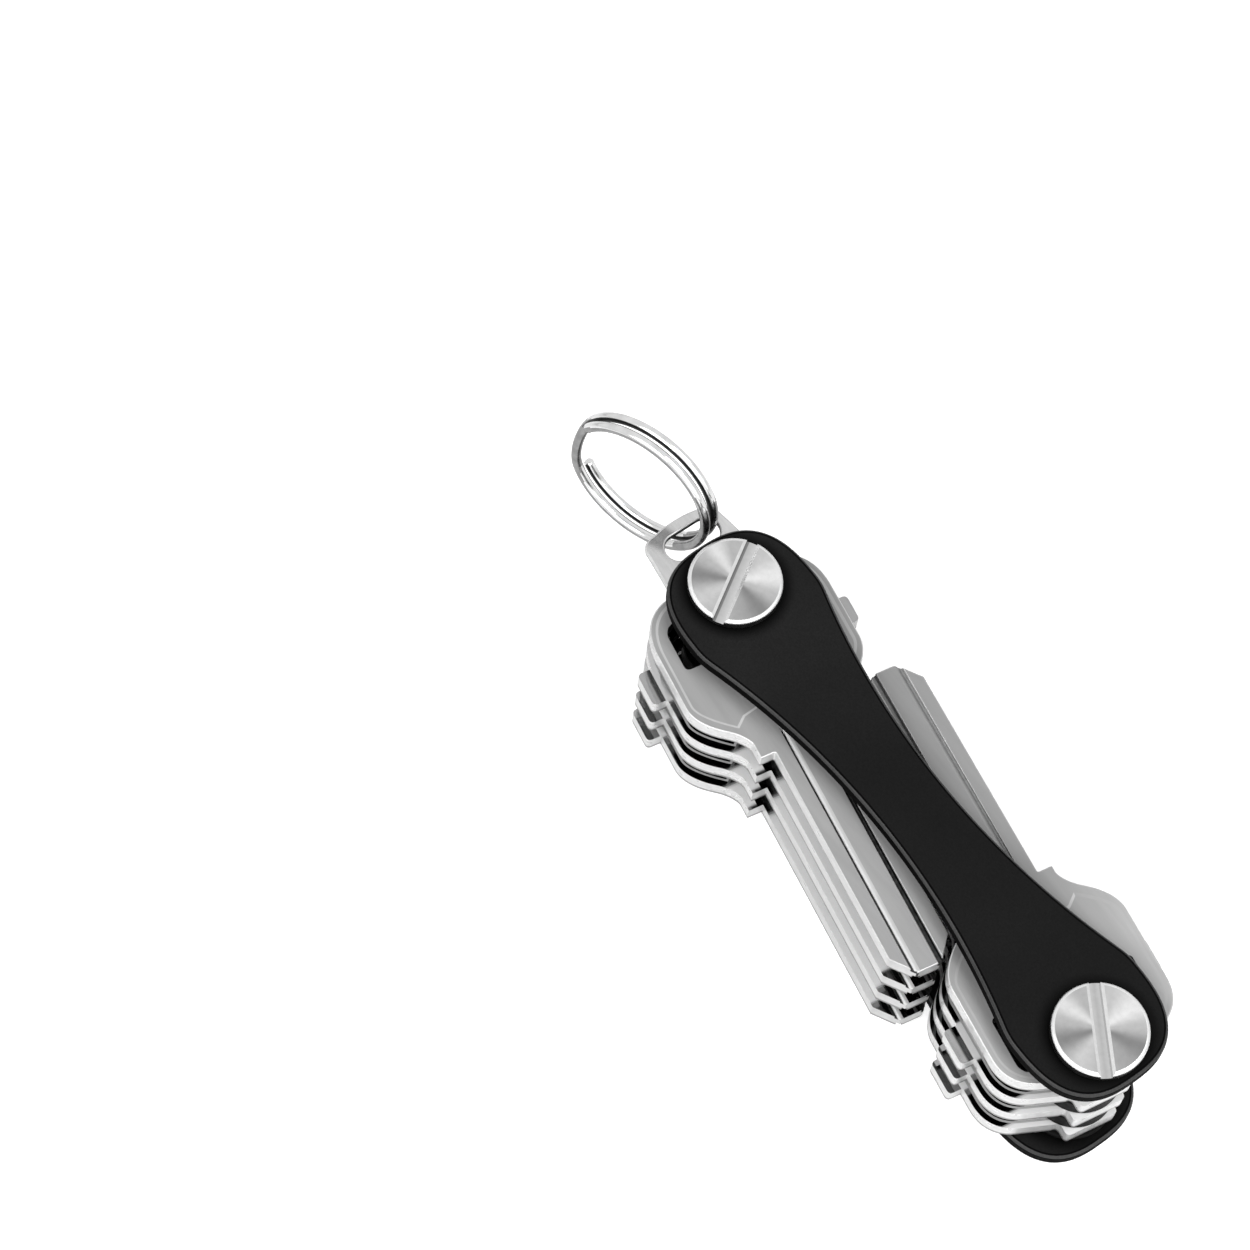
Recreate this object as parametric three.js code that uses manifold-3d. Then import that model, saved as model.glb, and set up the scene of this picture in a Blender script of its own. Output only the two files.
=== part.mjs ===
// Key organizer: two plates, two screw posts and eight keys that fan out like blades.
// Millimetres, +Z up. The origin is the middle of the rear plate's outer face, +X runs from the loop post
// to the tail post, and the loop keys open towards -Y.
import * as THREE from 'three';
import Module from 'manifold-3d';
import { mergeVertices } from 'three/addons/utils/BufferGeometryUtils.js';

const wasm = await Module();
wasm.setup();

// Plates
const plateThickness = 2;
const plateEndRadius = 8.7;
const plateEndInset = 2;
const plateNose = 8.35;
const plateNosePower = 2.5;
const plateWaist = 8.6;
const plateBevel = 0.4;

// Posts and screws
const postDiameter = 5;
const postFit = 0.08;
const postHeadDiameter = 11;
const postHeadHeight = 1.2;
const postHeadChamfer = 0.4;
const postSetback = 0.3;
const screwHeadDiameter = 11;
const screwHeadHeight = 1.4;
const screwHeadChamfer = 0.55;
const shankDiameter = 3.2;
const shankLength = 12;
const shankFit = 0.1;
const boreSpare = 1.5;
const coinSlotWidth = 1.6;
const coinSlotDepth = 0.7;
const loopSlotTurn = 122;
const tailSlotTurn = 148;

// Stack between the plates
const keyCount = 4;
const keyThickness = 2.2;
const spacerThickness = 2.6;
const spacerDiameter = 9.6;
const rearWasherThickness = 0.7;
const washerDiameter = 10.4;
const tabThickness = 0.9;
const runningGap = 0.1;

// Keys, with the post at the local origin and the blade along +X
const loopFan = 10.2;
const tailFan = 9.5;
const headHalfWidth = 11.2;
const headSideStart = 3.3;
const loopShoulderBack = 1.7;
const tailShoulderBack = 0.6;
const shoulderRake = 1.2;
const shoulderDrop = 4.1;
const headBack = 2.9;
const backRound = 0.7;
const neckBulge = 2.2;
const loopNeckX = 14.7;
const tailNeckX = 16.5;
const neckLead = 4.4;
const headNeckHalf = 8.5;
const loopCollarX = 19.4;
const tailCollarX = 20.3;
const collarHalf = 6.2;
const collarLead = 2.8;
const collarEase = 1.4;
const collarLift = 0.4;
const loopEndTabReach = 5.55;
const tailEndTabReach = 4.8;
const endTabHalf = 3.3;
const endTabRound = 0.6;
const bladeWidth = 7.5;
const bladeOffset = -0.6;
const bladeReach = 49.6;
const tipRoom = 16.4;
const tipLength = 2.7;
const tipFlat = 3;
const loopEarStart = 2.3;
const tailEarStart = 5.3;
const earLength = 4.3;
const earProud = 1.8;
const loopFarEarStart = 3.2;
const loopFarEarLength = 3.5;
const loopFarEarProud = 2.6;
const earRound = 0.6;
const holeRear = 0.25;
const loopHoleFront = 5.95;
const tailHoleFront = 7.2;
const holeHalf = 8.8;
const holeRound = 0.5;
const holeRearHalf = 2.1;
const holeRearSlope = 3.2;
const holeRearRound = 0.6;
const panelBorder = 1;
const panelDepth = 0.25;
const loopPanelFront = 14.1;
const tailPanelFront = 15.4;
const panelPoint = 1.1;
const panelPointHalf = 5.4;
const panelCornerHalf = 6.75;
const panelEase = 0.4;
const grooveStart = 21.6;
const wideGrooveAt = -1.6;
const wideGrooveWidth = 1.6;
const wideGrooveDepth = 0.4;
const narrowGrooveAt = 2.35;
const narrowGrooveWidth = 0.5;
const narrowGrooveDepth = 0.7;

// Loop tab and split ring
const tabRootRadius = 6.4;
const tabRootSweep = 100.8;
const tabEnd = 11.5;
const tabEndHalf = 5.1;
const tabCorner = 2;
const tabBulge = 0.35;
const tabTurn = 0;
const eyeReach = 8.3;
const eyeLength = 7.2;
const eyeSide = 0.4;
const eyeWidth = 3.4;
const ringMeanRadius = 9.3;
const wireDiameter = 1.2;
const turnPitch = 1.65;
const ringSide = 2.3;
const ringRise = 2;
const ringYaw = 17.8;
const ringLean = 86;
const ringEndTurn = 30;
const ringStepTurn = 24;

// Facets
const roundSteps = 36;
const smallSteps = 28;
const arcSteps = 5;
const noseSteps = 28;
const leanSteps = 3;
const flankSteps = 12;
const wireSteps = 24;
const wireSides = 8;

const radians = THREE.MathUtils.degToRad;
const postRadius = postDiameter / 2;
const postHole = postRadius + postFit;
const postSpacing = bladeReach + tipRoom;
const loopX = -postSpacing / 2;
const tailX = postSpacing / 2;
const keyPitch = keyThickness + spacerThickness + 2 * runningGap;
const rearKeyBottom = plateThickness + rearWasherThickness + 2 * runningGap;
const frontKeyTop = rearKeyBottom + (keyCount - 1) * keyPitch + keyThickness;
const tabBottom = frontKeyTop + runningGap;
const frontPlateBottom = tabBottom + tabThickness + runningGap;
const stackTop = frontPlateBottom + plateThickness;

const finishes = {
  black: { color: 0x26272a, metalness: 0.4, roughness: 0.6 },
  bright: { color: 0xc4c6c8, metalness: 1, roughness: 0.25 },
  nickel: { color: 0xa8aaad, metalness: 1, roughness: 0.4 },
  spacer: { color: 0x1c1c1e, metalness: 0, roughness: 0.7 },
};

const group = new THREE.Group();
group.name = 'key_organizer';

function addPiece(name, geometry, finish) {
  const mesh = new THREE.Mesh(geometry, new THREE.MeshStandardMaterial(finishes[finish]));
  mesh.name = name;
  group.add(mesh);
  return mesh;
}

// Solids for cutting and joining
function toSolid(geometry) {
  const plain = geometry.clone();
  plain.deleteAttribute('normal');
  plain.deleteAttribute('uv');
  const merged = mergeVertices(plain, 1e-5);
  const mesh = new wasm.Mesh({
    numProp: 3,
    vertProperties: Float32Array.from(merged.attributes.position.array),
    triVerts: Uint32Array.from(merged.index.array),
  });
  return new wasm.Manifold(mesh);
}

function toGeometry(solid) {
  const mesh = solid.getMesh();
  const geometry = new THREE.BufferGeometry();
  geometry.setAttribute('position', new THREE.BufferAttribute(Float32Array.from(mesh.vertProperties), 3));
  geometry.setIndex(new THREE.BufferAttribute(Uint32Array.from(mesh.triVerts), 1));
  geometry.computeVertexNormals();
  return geometry;
}

function prism(shape, bottom, height) {
  const geometry = new THREE.ExtrudeGeometry(shape, {
    depth: height, bevelEnabled: false, curveSegments: arcSteps,
  });
  return geometry.translate(0, 0, bottom);
}

function roundBar(radius, bottom, height, steps) {
  const bar = new THREE.CylinderGeometry(radius, radius, height, steps);
  return bar.rotateX(Math.PI / 2).translate(0, 0, bottom + height / 2);
}

function block(x0, x1, y0, y1, z0, z1) {
  const box = new THREE.BoxGeometry(x1 - x0, y1 - y0, z1 - z0);
  return box.translate((x0 + x1) / 2, (y0 + y1) / 2, (z0 + z1) / 2);
}

function revolve(profile, steps) {
  const points = profile.map(([r, z]) => new THREE.Vector2(r, z));
  return new THREE.LatheGeometry(points, steps).rotateX(Math.PI / 2);
}

// Plates: full round noses joined by flanks that pull in to the waist, the same from both ends
function plateShape() {
  const endX = postSpacing / 2 - plateEndInset;
  const rise = plateEndRadius - plateWaist / 2;
  const flankRadius = (endX ** 2 + (plateWaist / 2) ** 2 - plateEndRadius ** 2) / (2 * rise);
  const flankY = plateWaist / 2 + flankRadius;
  const lean = Math.atan2(endX, flankY);
  const points = [];
  const addArc = (cx, cy, r, from, to, steps) => {
    for (let i = 0; i < steps; i += 1) {
      const a = from + ((to - from) * i) / steps;
      points.push(new THREE.Vector2(cx + r * Math.cos(a), cy + r * Math.sin(a)));
    }
  };
  const quarter = Math.PI / 2;
  addArc(endX, 0, plateEndRadius, -quarter - lean, -quarter, leanSteps);
  for (let i = 0; i < noseSteps; i += 1) {
    const a = -quarter + (Math.PI * i) / noseSteps;
    const along = Math.cos(a) ** (2 / plateNosePower);
    const across = Math.sign(a) * Math.abs(Math.sin(a)) ** (2 / plateNosePower);
    points.push(new THREE.Vector2(endX + plateNose * along, plateEndRadius * across));
  }
  addArc(endX, 0, plateEndRadius, quarter, quarter + lean, leanSteps);
  addArc(0, flankY, flankRadius, -quarter + lean, -quarter - lean, flankSteps);
  return new THREE.Shape([...points, ...points.map((p) => p.clone().negate())]);
}

function plate(bottom) {
  const body = new THREE.ExtrudeGeometry(plateShape(), {
    depth: plateThickness - 2 * plateBevel,
    bevelEnabled: true,
    bevelThickness: plateBevel,
    bevelSize: plateBevel,
    bevelOffset: -plateBevel,
    bevelSegments: 1,
  });
  let solid = toSolid(body.translate(0, 0, plateBevel + bottom));
  for (const x of [loopX, tailX]) {
    const hole = roundBar(postHole, bottom - 1, plateThickness + 2, smallSteps).translate(x, 0, 0);
    solid = solid.subtract(toSolid(hole));
  }
  return toGeometry(solid);
}

addPiece('rear_plate', plate(0), 'black');
addPiece('front_plate', plate(frontPlateBottom), 'black');

// Posts: a low rear head and a barrel with a blind bore for the screw
const postTop = stackTop - postSetback;
const boreRadius = shankDiameter / 2 + shankFit;
const boreBottom = stackTop - shankLength - boreSpare;

function post(x) {
  const headRadius = postHeadDiameter / 2;
  return revolve([
    [0, -postHeadHeight],
    [headRadius - postHeadChamfer, -postHeadHeight],
    [headRadius, -postHeadHeight + postHeadChamfer],
    [headRadius, 0],
    [postRadius, 0],
    [postRadius, postTop],
    [boreRadius, postTop],
    [boreRadius, boreBottom],
    [0, boreBottom],
  ], smallSteps).translate(x, 0, 0);
}

addPiece('loop_post', post(loopX), 'bright');
addPiece('tail_post', post(tailX), 'bright');

// Screws: a flat head with a chamfered rim and a coin slot across it
function screw(x, turn) {
  const headRadius = screwHeadDiameter / 2;
  const headTop = stackTop + screwHeadHeight;
  const body = revolve([
    [0, stackTop - shankLength],
    [shankDiameter / 2, stackTop - shankLength],
    [shankDiameter / 2, stackTop],
    [headRadius, stackTop],
    [headRadius, headTop - screwHeadChamfer],
    [headRadius - screwHeadChamfer, headTop],
    [0, headTop],
  ], roundSteps);
  const slot = block(
    -headRadius - 1, headRadius + 1, -coinSlotWidth / 2, coinSlotWidth / 2,
    headTop - coinSlotDepth, headTop + 1,
  ).rotateZ(radians(turn));
  return toGeometry(toSolid(body).subtract(toSolid(slot))).translate(x, 0, 0);
}

addPiece('loop_screw', screw(loopX, loopSlotTurn), 'bright');
addPiece('tail_screw', screw(tailX, tailSlotTurn), 'bright');

// Spacers and washers: plain rings round the posts
function ring(x, diameter, bottom, height) {
  return revolve([
    [postHole, bottom],
    [diameter / 2, bottom],
    [diameter / 2, bottom + height],
    [postHole, bottom + height],
    [postHole, bottom],
  ], smallSteps).translate(x, 0, 0);
}

const ends = [['loop', loopX], ['tail', tailX]];
for (const [end, x] of ends) {
  const washer = ring(x, washerDiameter, plateThickness + runningGap, rearWasherThickness);
  addPiece(`${end}_rear_washer`, washer, 'spacer');
  for (let i = 1; i < keyCount; i += 1) {
    const above = rearKeyBottom + (keyCount - i) * keyPitch;
    const bottom = above - runningGap - spacerThickness;
    addPiece(`${end}_spacer_${i}`, ring(x, spacerDiameter, bottom, spacerThickness), 'spacer');
  }
}
addPiece('tail_front_washer', ring(tailX, washerDiameter, tabBottom, tabThickness), 'spacer');

// Keys: one side of the head runs from the end tab to the collar, and the other side mirrors it.
// The tail keys have a shorter head than the loop keys.
const loopHead = {
  shoulderX: -loopShoulderBack,
  endX: -loopEndTabReach,
  neckX: loopNeckX,
  collarX: loopCollarX,
  holeFront: loopHoleFront,
  panelFront: loopPanelFront,
  ear: [loopEarStart, earLength, earProud],
  farEar: [loopFarEarStart, loopFarEarLength, loopFarEarProud],
};
const tailHead = {
  shoulderX: -tailShoulderBack,
  endX: -tailEndTabReach,
  neckX: tailNeckX,
  collarX: tailCollarX,
  holeFront: tailHoleFront,
  panelFront: tailPanelFront,
  ear: [tailEarStart, earLength, earProud],
  farEar: [tailEarStart, earLength, earProud],
};

function headSide({ shoulderX, endX, neckX, collarX }) {
  const sideEnd = neckX - neckLead;
  const collarStart = neckX + collarLead;
  const side = new THREE.Path();
  side.moveTo(endX, endTabHalf - endTabRound);
  side.quadraticCurveTo(endX, endTabHalf, endX + endTabRound, endTabHalf);
  side.lineTo(-headBack - backRound, endTabHalf);
  side.quadraticCurveTo(-headBack, endTabHalf, -headBack, endTabHalf + backRound);
  side.lineTo(shoulderX - shoulderRake, headHalfWidth - shoulderDrop);
  side.quadraticCurveTo(shoulderX, headHalfWidth, headSideStart, headHalfWidth);
  side.lineTo(sideEnd, headHalfWidth);
  side.quadraticCurveTo(sideEnd + neckBulge, headHalfWidth, neckX, headNeckHalf);
  side.quadraticCurveTo(collarStart - collarEase, collarHalf + collarLift, collarStart, collarHalf);
  side.lineTo(collarX, collarHalf);
  return side.getPoints(arcSteps);
}

function mirrored(points) {
  return points.map((p) => new THREE.Vector2(p.x, -p.y)).reverse();
}

function keyShape(head) {
  const inner = bladeOffset + bladeWidth / 2;
  const outer = bladeOffset - bladeWidth / 2;
  const tipX = bladeReach - tipLength;
  const side = headSide(head);
  const blade = [
    [head.collarX, inner], [tipX, inner], [bladeReach, bladeOffset + tipFlat / 2],
    [bladeReach, bladeOffset - tipFlat / 2], [tipX, outer], [head.collarX, outer],
  ].map(([x, y]) => new THREE.Vector2(x, y));
  return new THREE.Shape([...side, ...blade, ...mirrored(side)]);
}

// The hanging hole is wide, so that the key slips over the post with its end tab behind it
function holeShape({ holeFront }) {
  const rear = -postRadius - holeRear;
  const bend = rear + holeRearSlope;
  const side = new THREE.Path();
  side.moveTo(rear, holeRearHalf);
  side.lineTo(bend, holeHalf - holeRound);
  side.quadraticCurveTo(bend + holeRearRound, holeHalf, bend + holeRearRound + holeRound, holeHalf);
  side.lineTo(holeFront - holeRound, holeHalf);
  side.quadraticCurveTo(holeFront, holeHalf, holeFront, holeHalf - holeRound);
  const points = side.getPoints(arcSteps);
  return new THREE.Shape([...points, ...mirrored(points)]);
}

// The sunk panel of the head keeps a border inside the outline and ends in a shallow point
function panelShape({ shoulderX, neckX, panelFront }) {
  const sideEnd = neckX - neckLead;
  const half = headHalfWidth - panelBorder;
  const roundX = shoulderX + panelBorder;
  const side = new THREE.Path();
  side.moveTo(panelBorder - headBack, endTabHalf + backRound);
  side.lineTo(roundX - shoulderRake, headHalfWidth - shoulderDrop);
  side.quadraticCurveTo(roundX, half, headSideStart + panelBorder / 2, half);
  side.lineTo(sideEnd, half);
  const bulgeX = sideEnd + neckBulge - panelEase;
  side.quadraticCurveTo(bulgeX, half, panelFront + panelPoint, panelCornerHalf);
  side.lineTo(panelFront, panelPointHalf);
  const points = side.getPoints(arcSteps);
  const notch = new THREE.Vector2(panelFront - panelPoint, 0);
  return new THREE.Shape([...points, notch, ...mirrored(points)]);
}

// An ear stands out from the side of the head, with its outer corners rounded
function earSolid([start, length, proud], side) {
  const root = side * (holeHalf + headHalfWidth) / 2;
  const reach = side * (headHalfWidth + proud);
  const turn = side * earRound;
  const end = start + length;
  const ear = new THREE.Shape();
  ear.moveTo(start, root);
  ear.lineTo(start, reach - turn);
  ear.quadraticCurveTo(start, reach, start + earRound, reach);
  ear.lineTo(end - earRound, reach);
  ear.quadraticCurveTo(end, reach, end, reach - turn);
  ear.lineTo(end, root);
  return toSolid(prism(ear, 0, keyThickness));
}

function cutGroove(solid, at, width, depth) {
  const end = bladeReach + 1;
  const half = width / 2;
  const top = bladeOffset + at;
  const under = bladeOffset - at;
  const upper = block(grooveStart, end, top - half, top + half, keyThickness - depth, keyThickness + 1);
  const lower = block(grooveStart, end, under - half, under + half, -1, depth);
  return solid.subtract(toSolid(upper)).subtract(toSolid(lower));
}

function keySolid(head, hasEars) {
  let solid = toSolid(prism(keyShape(head), 0, keyThickness));
  if (hasEars) {
    solid = solid.add(earSolid(head.ear, -1)).add(earSolid(head.farEar, 1));
  }
  const panel = panelShape(head);
  solid = solid.subtract(toSolid(prism(panel, keyThickness - panelDepth, panelDepth + 1)));
  solid = solid.subtract(toSolid(prism(panel, -1, 1 + panelDepth)));
  solid = solid.subtract(toSolid(prism(holeShape(head), -1, keyThickness + 2)));
  solid = cutGroove(solid, wideGrooveAt, wideGrooveWidth, wideGrooveDepth);
  return cutGroove(solid, narrowGrooveAt, narrowGrooveWidth, narrowGrooveDepth);
}

const keySets = [
  ['loop', loopX, -loopFan, loopHead],
  ['tail', tailX, 180 - tailFan, tailHead],
];
for (const [end, x, turn, head] of keySets) {
  const plainKey = keySolid(head, false);
  const earedKey = keySolid(head, true);
  for (let i = 1; i <= keyCount; i += 1) {
    const solid = i === 1 ? plainKey : earedKey;
    const bottom = rearKeyBottom + (keyCount - i) * keyPitch;
    const placed = toGeometry(solid).rotateZ(radians(turn)).translate(x, 0, bottom);
    addPiece(`${end}_key_${i}`, placed, 'nickel');
  }
}

// Loop tab: a tongue on the loop post that narrows to its end, with a long eye for the ring
function loopTab() {
  const side = new THREE.Path();
  side.absarc(0, 0, tabRootRadius, 0, radians(tabRootSweep), false);
  side.lineTo(-tabEnd + tabCorner, tabEndHalf);
  side.quadraticCurveTo(-tabEnd + tabBulge, tabEndHalf, -tabEnd + tabBulge, tabEndHalf - tabCorner);
  side.quadraticCurveTo(-tabEnd, tabEndHalf / 3, -tabEnd, 0);
  const points = side.getPoints(arcSteps * 2);
  const outline = new THREE.Shape([...points, ...mirrored(points).slice(1, -1)]);
  let solid = toSolid(prism(outline, tabBottom, tabThickness));
  solid = solid.subtract(toSolid(roundBar(postHole, tabBottom - 1, tabThickness + 2, smallSteps)));
  const straight = (eyeLength - eyeWidth) / 2;
  const eye = new THREE.Shape();
  eye.absarc(-eyeReach, eyeSide + straight, eyeWidth / 2, 0, Math.PI, false);
  eye.absarc(-eyeReach, eyeSide - straight, eyeWidth / 2, Math.PI, 2 * Math.PI, false);
  solid = solid.subtract(toSolid(prism(eye, tabBottom - 1, tabThickness + 2)));
  return toGeometry(solid).rotateZ(radians(tabTurn)).translate(loopX, 0, 0);
}

addPiece('loop_tab', loopTab(), 'bright');

// Split ring: one wire that runs nearly two turns and steps across at its far side
class SplitRingPath extends THREE.Curve {
  getPoint(t, target = new THREE.Vector3()) {
    const total = 720 - 2 * ringEndTurn;
    const turn = ringEndTurn + total * t;
    const ease = THREE.MathUtils.smoothstep(turn, 360 - ringStepTurn, 360 + ringStepTurn);
    const angle = radians(180 + turn);
    return target.set(
      ringMeanRadius * Math.cos(angle), ringMeanRadius * Math.sin(angle), turnPitch * (ease - 0.5),
    );
  }
}

function flip(geometry) {
  const turned = geometry.clone();
  const index = turned.index.array;
  for (let i = 0; i < index.length; i += 3) {
    [index[i + 1], index[i + 2]] = [index[i + 2], index[i + 1]];
  }
  return turned;
}

function splitRing() {
  const path = new SplitRingPath();
  const count = Math.round((wireSteps * (720 - 2 * ringEndTurn)) / 360);
  const samples = path.getPoints(count * 4);
  let least = Infinity;
  for (let i = 0; i < samples.length; i += 1) {
    for (let j = i + wireSteps * 2; j < samples.length; j += 1) {
      least = Math.min(least, samples[i].distanceTo(samples[j]) - wireDiameter);
    }
  }
  console.log(`split_ring least gap to itself ${least.toFixed(2)} mm`);
  const positions = [];
  const indices = [];
  const axis = new THREE.Vector3(0, 0, 1);
  for (let i = 0; i <= count; i += 1) {
    const centre = path.getPoint(i / count);
    const outward = new THREE.Vector3(centre.x, centre.y, 0).normalize();
    for (let k = 0; k < wireSides; k += 1) {
      const a = (2 * Math.PI * k) / wireSides;
      const offset = outward.clone().multiplyScalar(Math.cos(a)).addScaledVector(axis, Math.sin(a));
      const point = centre.clone().addScaledVector(offset, wireDiameter / 2);
      positions.push(point.x, point.y, point.z);
    }
  }
  const at = (i, k) => i * wireSides + (k % wireSides);
  for (let i = 0; i < count; i += 1) {
    for (let k = 0; k < wireSides; k += 1) {
      indices.push(at(i, k), at(i, k + 1), at(i + 1, k));
      indices.push(at(i, k + 1), at(i + 1, k + 1), at(i + 1, k));
    }
  }
  for (let k = 1; k < wireSides - 1; k += 1) {
    indices.push(at(0, 0), at(0, k + 1), at(0, k));
    indices.push(at(count, 0), at(count, k), at(count, k + 1));
  }
  const geometry = new THREE.BufferGeometry();
  geometry.setAttribute('position', new THREE.Float32BufferAttribute(positions, 3));
  geometry.setIndex(indices);
  const solid = toSolid(geometry);
  const shaped = solid.volume() < 0 ? toSolid(flip(geometry)) : solid;
  const reach = Math.sqrt(ringMeanRadius ** 2 - ringRise ** 2);
  const eye = new THREE.Vector2(-eyeReach, ringSide).rotateAround(new THREE.Vector2(), radians(tabTurn));
  const yaw = radians(ringYaw);
  const result = toGeometry(shaped).rotateX(radians(ringLean)).rotateZ(yaw);
  return result.translate(
    loopX + eye.x - reach * Math.cos(yaw), eye.y - reach * Math.sin(yaw),
    tabBottom + tabThickness / 2 + ringRise,
  );
}

addPiece('split_ring', splitRing(), 'bright');

export default group;
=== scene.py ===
import math
import bpy
import bmesh
from mathutils import Matrix, Vector


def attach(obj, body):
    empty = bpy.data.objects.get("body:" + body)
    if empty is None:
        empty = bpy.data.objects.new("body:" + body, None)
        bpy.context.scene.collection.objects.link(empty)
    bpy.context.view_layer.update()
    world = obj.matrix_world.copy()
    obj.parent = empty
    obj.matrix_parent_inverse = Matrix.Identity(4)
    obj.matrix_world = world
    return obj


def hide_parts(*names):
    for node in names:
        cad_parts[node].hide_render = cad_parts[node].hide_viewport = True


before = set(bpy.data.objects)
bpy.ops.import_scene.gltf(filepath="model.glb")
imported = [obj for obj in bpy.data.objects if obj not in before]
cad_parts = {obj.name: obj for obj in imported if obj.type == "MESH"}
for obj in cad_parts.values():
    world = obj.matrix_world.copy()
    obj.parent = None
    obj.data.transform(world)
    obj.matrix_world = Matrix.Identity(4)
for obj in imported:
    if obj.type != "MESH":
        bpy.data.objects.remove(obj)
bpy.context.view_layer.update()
scene = bpy.context.scene
print("frame loaded with", len(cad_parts), "nodes")

mm = 0.001

# heights of the stack in mm, from the rear plate's outer face
stack = {
    "plate": 2.0, "rearGap": 0.9, "key": 2.2, "pitch": 5.0, "frontGap": 1.1,
    "running": 0.1, "spacer": 2.6, "rearWasher": 0.7, "tab": 0.9, "postX": 33.0,
}
rearKeyZ = stack["plate"] + stack["rearGap"]
frontKeyTop = rearKeyZ + 3 * stack["pitch"] + stack["key"]
tabZ = frontKeyTop + stack["running"]
frontPlateZ = frontKeyTop + stack["frontGap"]
stackTop = frontPlateZ + stack["plate"]
postAt = {"loop": -stack["postX"], "tail": stack["postX"]}
keyTurn = {"loop": -10.2, "tail": 170.5}  # degrees about each post, from a blade along +X

overrun = 1.0  # cutters run this far past a face, in mm
facePad = 0.35  # how far in front of a face to look for an outline, in mm
levelLimit = 0.99  # a normal's Z past this makes a face level
wallLimit = 0.5  # a normal's Z under this makes a face a wall
tiny = 1e-5  # places closer than this are one, in mm


# small helpers for meshes, all in mm until finishMesh
def prismMesh(points, low, high):
    bm = bmesh.new()
    base = [bm.verts.new((x, y, low)) for x, y in points]
    face = bm.faces.new(base)
    out = bmesh.ops.extrude_face_region(bm, geom=[face])
    top = [v for v in out["geom"] if isinstance(v, bmesh.types.BMVert)]
    bmesh.ops.translate(bm, verts=top, vec=(0, 0, high - low))
    bmesh.ops.recalc_face_normals(bm, faces=bm.faces)
    for face in bm.faces:
        face.smooth = True
    mesh = bpy.data.meshes.new("prism")
    bm.to_mesh(mesh)
    bm.free()
    return mesh


def trayMesh(points, level, depth, draw, up):  # a cutter with sloped sides, open upward or downward
    mesh = prismMesh(points, level, level + overrun) if up else prismMesh(points, level - overrun, level)
    bm = bmesh.new()
    bm.from_mesh(mesh)
    floor = [f for f in bm.faces if abs(f.normal.z) > levelLimit and (f.normal.z < 0) == up]
    bmesh.ops.inset_region(bm, faces=floor, thickness=draw, depth=depth, use_even_offset=True)
    for face in bm.faces:
        face.smooth = True
    bm.to_mesh(mesh)
    bm.free()
    return mesh


def barMesh(points, start, end):  # a section in Y and Z, run along X
    mesh = prismMesh(points, start, end)
    mesh.transform(Matrix(((0, 0, 1, 0), (1, 0, 0, 0), (0, 1, 0, 0), (0, 0, 0, 1))))
    return mesh


def latheMesh(profile, steps):
    bm = bmesh.new()
    rings = []
    for r, z in profile:
        if r < tiny:
            rings.append([bm.verts.new((0, 0, z))])
            continue
        turn = [2 * math.pi * k / steps for k in range(steps)]
        rings.append([bm.verts.new((r * math.cos(a), r * math.sin(a), z)) for a in turn])
    for low, high in zip(rings, rings[1:]):
        for k in range(steps):
            n = (k + 1) % steps
            if len(low) == 1:
                bm.faces.new((low[0], high[k], high[n]))
            elif len(high) == 1:
                bm.faces.new((low[k], low[n], high[0]))
            else:
                bm.faces.new((low[k], low[n], high[n], high[k]))
    bmesh.ops.remove_doubles(bm, verts=bm.verts, dist=tiny)
    bmesh.ops.recalc_face_normals(bm, faces=bm.faces)
    for face in bm.faces:
        face.smooth = True
    mesh = bpy.data.meshes.new("lathe")
    bm.to_mesh(mesh)
    bm.free()
    return mesh


def bend(start, pull, end, steps=10):  # a quadratic curve without its first point
    points = []
    for k in range(1, steps + 1):
        t = k / steps
        a, b, c = (1 - t) ** 2, 2 * t * (1 - t), t * t
        points.append((a * start[0] + b * pull[0] + c * end[0], a * start[1] + b * pull[1] + c * end[1]))
    return points


def arc(cx, cy, r, fromDeg, toDeg, steps):
    turn = [math.radians(fromDeg + (toDeg - fromDeg) * k / steps) for k in range(steps + 1)]
    return [(cx + r * math.cos(a), cy + r * math.sin(a)) for a in turn]


def mirrored(points):
    return [(x, -y) for x, y in reversed(points)]


def inside(points, x, y):
    hit = False
    for (x0, y0), (x1, y1) in zip(points, points[1:] + points[:1]):
        if (y0 > y) != (y1 > y) and x < (x1 - x0) * (y - y0) / (y1 - y0) + x0:
            hit = not hit
    return hit


def facesInto(points, c, n):  # whether a face at c looks into the outline
    return inside(points, c.x + facePad * n.x, c.y + facePad * n.y)


spareSlots = 4  # empty material slots, one of which the bevel takes


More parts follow.
